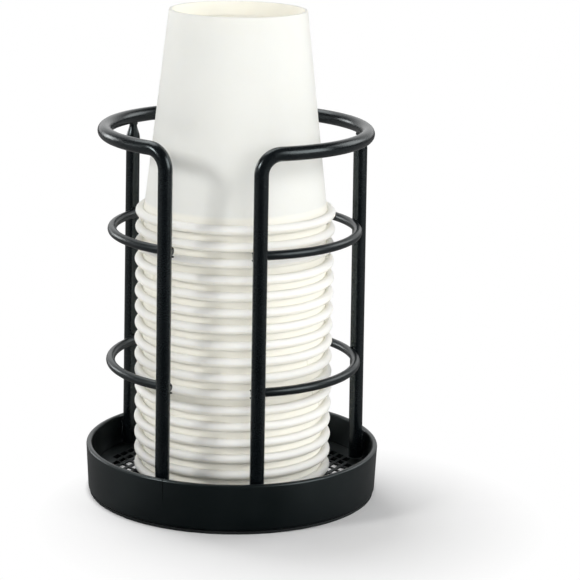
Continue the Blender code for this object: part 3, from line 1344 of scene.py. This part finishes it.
    def build(self, finishes: list[Material]) -> list[Object]:
        """Build the column.

        Args:
            finishes: Those of the open paper and of its lighter copies with painted light: in the creases
                above the rim, under the rim and in the base's recess, and on the rim.

        Returns:
            The cups, from the bottom.
        """
        pattern = self.pattern_cup(finishes)
        drift = random.Random(self.seed)
        cups = [self.stacked(pattern, number, drift) for number in range(1, self.count + 1)]
        bpy.data.objects.remove(pattern, do_unlink=True)
        return cups


# The studio


@dataclass(frozen=True)
class Softbox:
    """A square softbox that faces the cups.

    The bearing is counted from the camera, to its right. A box that isn't mirrored lights the
    object without showing in its wires.
    """

    name: str
    bearing: float
    elevation: float
    distance: float
    size: float
    power: float
    mirrored: bool = True


@dataclass(frozen=True)
class CameraStand:
    """Where the camera stands and how it looks, from a fit to the photograph."""

    place: tuple[float, float, float] = (0.1409, -0.8063, 0.2752)
    heading: float = -8.512
    pitch: float = 13.775
    roll: float = 1.15
    lens: float = 145.93
    sensor: float = 36.0

    def turned(self) -> Matrix:
        """Work out the camera's turn from its heading, pitch and roll.

        Returns:
            The turn.
        """
        heading, pitch, roll = (math.radians(angle) for angle in (self.heading, self.pitch, self.roll))
        level = Vector((math.cos(heading), -math.sin(heading), 0.0))
        ahead = Vector(
            (math.sin(heading) * math.cos(pitch), math.cos(heading) * math.cos(pitch), -math.sin(pitch))
        )
        above = level.cross(ahead)
        right = level * math.cos(roll) + above * math.sin(roll)
        top = above * math.cos(roll) - level * math.sin(roll)
        return Matrix((right, top, -ahead)).transposed().to_4x4()


@dataclass
class Studio:
    """The pale floor, the soft light and the camera.

    The floor is lifted to white for the camera, least round a point inside the object's
    shadow. In the wires, floor and surroundings look dark in front and paler elsewhere.
    """

    stand: CameraStand = CameraStand()
    aim: tuple[float, float, float] = (0.0, 0.0, 0.085)
    floor_size: float = 12.0
    floor_colour: Colour = (0.90, 0.90, 0.90)
    floor_roughness: float = 0.9
    shadow_azimuth: float = 42.0
    shadow_shift: float = 0.040
    lift_from_shadow: Ramp = ((0.036, 0.090), (0.05, 1.0))
    lift_from_tray: Ramp = ((0.0515, 0.0535), (0.0, 1.0))
    lift_under_tray: Ramp = ((0.046, 0.048), (0.45, 0.0))
    softboxes: tuple[Softbox, ...] = (
        Softbox("left_box", -61.6, 25.5, 1.0, 0.20, 3.4),
        Softbox("left_strip", -92.0, 6.0, 1.1, 0.30, 0.4),
        Softbox("left_rim", -126.0, 10.0, 1.2, 0.36, 2.4),
        Softbox("front_fill", 12.0, 14.0, 1.6, 1.20, 11.3, mirrored=False),
        Softbox("right_box", 63.0, 21.5, 1.2, 0.75, 7.7),
        Softbox("rim_box", 118.0, 25.0, 1.2, 0.60, 3.2),
        Softbox("back_box", -143.5, 62.0, 1.2, 0.80, 6.0),
    )
    world_level: float = 0.03
    mirrored_world: Ramp = ((0.55, 0.95), (0.02, 1.0))
    mirrored_floor: Ramp = ((0.50, 0.96), (0.25, 0.02))

    def front(self) -> Vector:
        """Return the level direction from the object to the camera."""
        return Vector((self.stand.place[0], self.stand.place[1], 0.0)).normalized()

    def floor(self) -> None:
        """Lay the floor, which looks white to the camera and still takes shadows."""
        clear_selection()
        bpy.ops.mesh.primitive_plane_add(size=self.floor_size)
        floor = settle("studio_floor")
        material = bpy.data.materials.new("studio_floor")
        material.use_nodes = True
        tree = material.node_tree
        rays = add(tree, "LightPath").outputs
        matt = tree.nodes["Principled BSDF"]
        feed(tree, matt, {"Base Color": opaque(self.floor_colour), "Roughness": self.floor_roughness})
        feed(tree, matt, {"Specular IOR Level": 0.0})
        bright = add(tree, "Emission", {"Color": WHITE})
        dim = add(tree, "BsdfDiffuse", {"Color": self.mirrored_paleness(tree)})
        lift = combined(tree, "MULTIPLY", self.whiteness(tree), rays["Is Camera Ray"])
        seen = add(tree, "MixShader", {"Fac": lift, 1: matt.outputs[0], 2: bright.outputs[0]})
        shown = add(tree, "MixShader", {"Fac": rays["Is Glossy Ray"], 1: seen.outputs[0], 2: dim.outputs[0]})
        feed(tree, tree.nodes["Material Output"], {"Surface": shown.outputs[0]})
        floor.data.materials.append(material)

    def mirrored_paleness(self, tree: NodeTree) -> NodeSocket:
        """Say how pale the floor looks in the wires, dark in front and paler at the sides.

        Args:
            tree: The floor's node tree.

        Returns:
            The paleness.
        """
        place = add(tree, "TexCoord").outputs["Object"]
        outward = add(tree, "VectorMath", {0: place}, operation="NORMALIZE").outputs["Vector"]
        ahead = vectors(tree, "DOT_PRODUCT", outward, self.front(), "Value")
        return spread(tree, ahead, self.mirrored_floor)

    def whiteness(self, tree: NodeTree) -> NodeSocket:
        """Say how far the floor is lifted to white: least on the side where the shadow falls.

        Args:
            tree: The floor's node tree.

        Returns:
            The share of white.
        """
        place = add(tree, "TexCoord").outputs["Object"]
        away = vectors(tree, "DISTANCE", place, ORIGIN, "Value")
        in_shadow = around(self.shadow_azimuth, self.shadow_shift)
        from_shadow = vectors(tree, "DISTANCE", place, in_shadow, "Value")
        near = spread(tree, from_shadow, self.lift_from_shadow)
        outside = spread(tree, away, self.lift_from_tray)
        # Under the tray the floor is lifted part way to white for the camera: painted light seen through the
        # floor's openings.
        under = spread(tree, away, self.lift_under_tray)
        return combined(tree, "MAXIMUM", combined(tree, "MULTIPLY", near, outside), under)

    def surroundings(self) -> None:
        """Surround the object: white to the camera, and in the wires brighter behind it."""
        world = bpy.data.worlds.new("studio")
        bpy.context.scene.world = world
        world.use_nodes = True
        tree = world.node_tree
        rays = add(tree, "LightPath").outputs
        direction = add(tree, "TexCoord").outputs["Generated"]
        behind = vectors(tree, "DOT_PRODUCT", direction, -self.front(), "Value")
        mirrored = spread(tree, behind, self.mirrored_world)
        glossy = blended(tree, rays["Is Glossy Ray"], self.world_level, mirrored)
        seen = blended(tree, rays["Is Camera Ray"], glossy, 1.0)
        feed(tree, tree.nodes["Background"], {"Color": WHITE, "Strength": seen})

    def light(self) -> None:
        """Set up the softboxes round the object."""
        for box in self.softboxes:
            lamp = bpy.data.lights.new(box.name, "AREA")
            lamp.shape = "SQUARE"
            lamp.size = box.size
            lamp.energy = box.power
            stand = bpy.data.objects.new(box.name, lamp)
            stand.visible_glossy = box.mirrored
            bpy.context.scene.collection.objects.link(stand)
            elevation = math.radians(box.elevation)
            way = around(box.bearing - self.stand.heading, math.cos(elevation), math.sin(elevation))
            stand.location = Vector(self.aim) + way * box.distance
            stand.rotation_euler = way.to_track_quat("Z", "Y").to_euler()

    def camera(self) -> None:
        """Stand the camera where the photograph was taken from."""
        lens = bpy.data.cameras.new("camera")
        lens.lens = self.stand.lens
        lens.sensor_width = self.stand.sensor
        lens.sensor_fit = "HORIZONTAL"
        lens.dof.use_dof = False
        camera = bpy.data.objects.new("camera", lens)
        bpy.context.scene.collection.objects.link(camera)
        camera.matrix_world = Matrix.Translation(Vector(self.stand.place)) @ self.stand.turned()
        bpy.context.scene.camera = camera

    def build(self) -> None:
        """Build the studio."""
        self.floor()
        self.surroundings()
        self.light()
        self.camera()
        bpy.context.scene.view_settings.view_transform = "Standard"


def report(pieces: list[Object]) -> None:
    """Log each piece of a sub-assembly and its faces."""
    for piece in pieces:
        LOG.info("%s: %d faces", piece.name, len(piece.data.polygons))


def main() -> None:
    """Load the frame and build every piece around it."""
    logging.basicConfig(level=logging.INFO, format="%(name)s %(message)s")
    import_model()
    powder = PowderSurface().group()
    black, faded = (0.0020, 0.0037, 0.0042), (0.0038, 0.0060, 0.0066)
    blue_black, blue_faded = (0.0020, 0.0032, 0.0042), (0.0038, 0.0052, 0.0066)
    rubber_black, rubber_faded = (0.0060, 0.0062, 0.0065), (0.0100, 0.0100, 0.0105)
    fine = {"peel_size": 0.8, "relief": 0.000006}
    coats = (
        PowderCoat("band_powder_coat", black, faded, roughness=0.34, peel_size=1.3),
        PowderCoat("floor_powder_coat", black, faded, roughness=0.36),
        PowderCoat("wire_powder_coat", blue_black, blue_faded, roughness=0.25, **fine),
        PowderCoat("ring_powder_coat", blue_black, blue_faded, roughness=0.32, **fine),
        PowderCoat("foot_rubber", rubber_black, rubber_faded, roughness=0.78, relief=0.00003),
    )
    band_coat, floor_coat, wire_coat, ring_coat, rubber = (coat.material(powder) for coat in coats)
    board = PaperSurface().group()
    # The paper and its lighter copies that paint light: into the creases, under the rims and in the recess,
    # and onto the rims.
    papers = (
        CupPaper("cup_paper"),
        CupPaper("cup_paper_crease_light", fold=1.0),
        CupPaper("cup_paper_bounce_light", (0.950, 0.930, 0.850), (0.925, 0.900, 0.810)),
        CupPaper("cup_paper_lit_rim", (0.965, 0.960, 0.914), (0.945, 0.940, 0.890)),
    )
    holder = Holder()
    report(Tray(holder).build(band_coat, floor_coat, rubber))
    report(Cage(holder).build(wire_coat, ring_coat))
    report(CupColumn().build([paper.material(board) for paper in papers]))
    Studio().build()


if __name__ == "__main__":
    main()
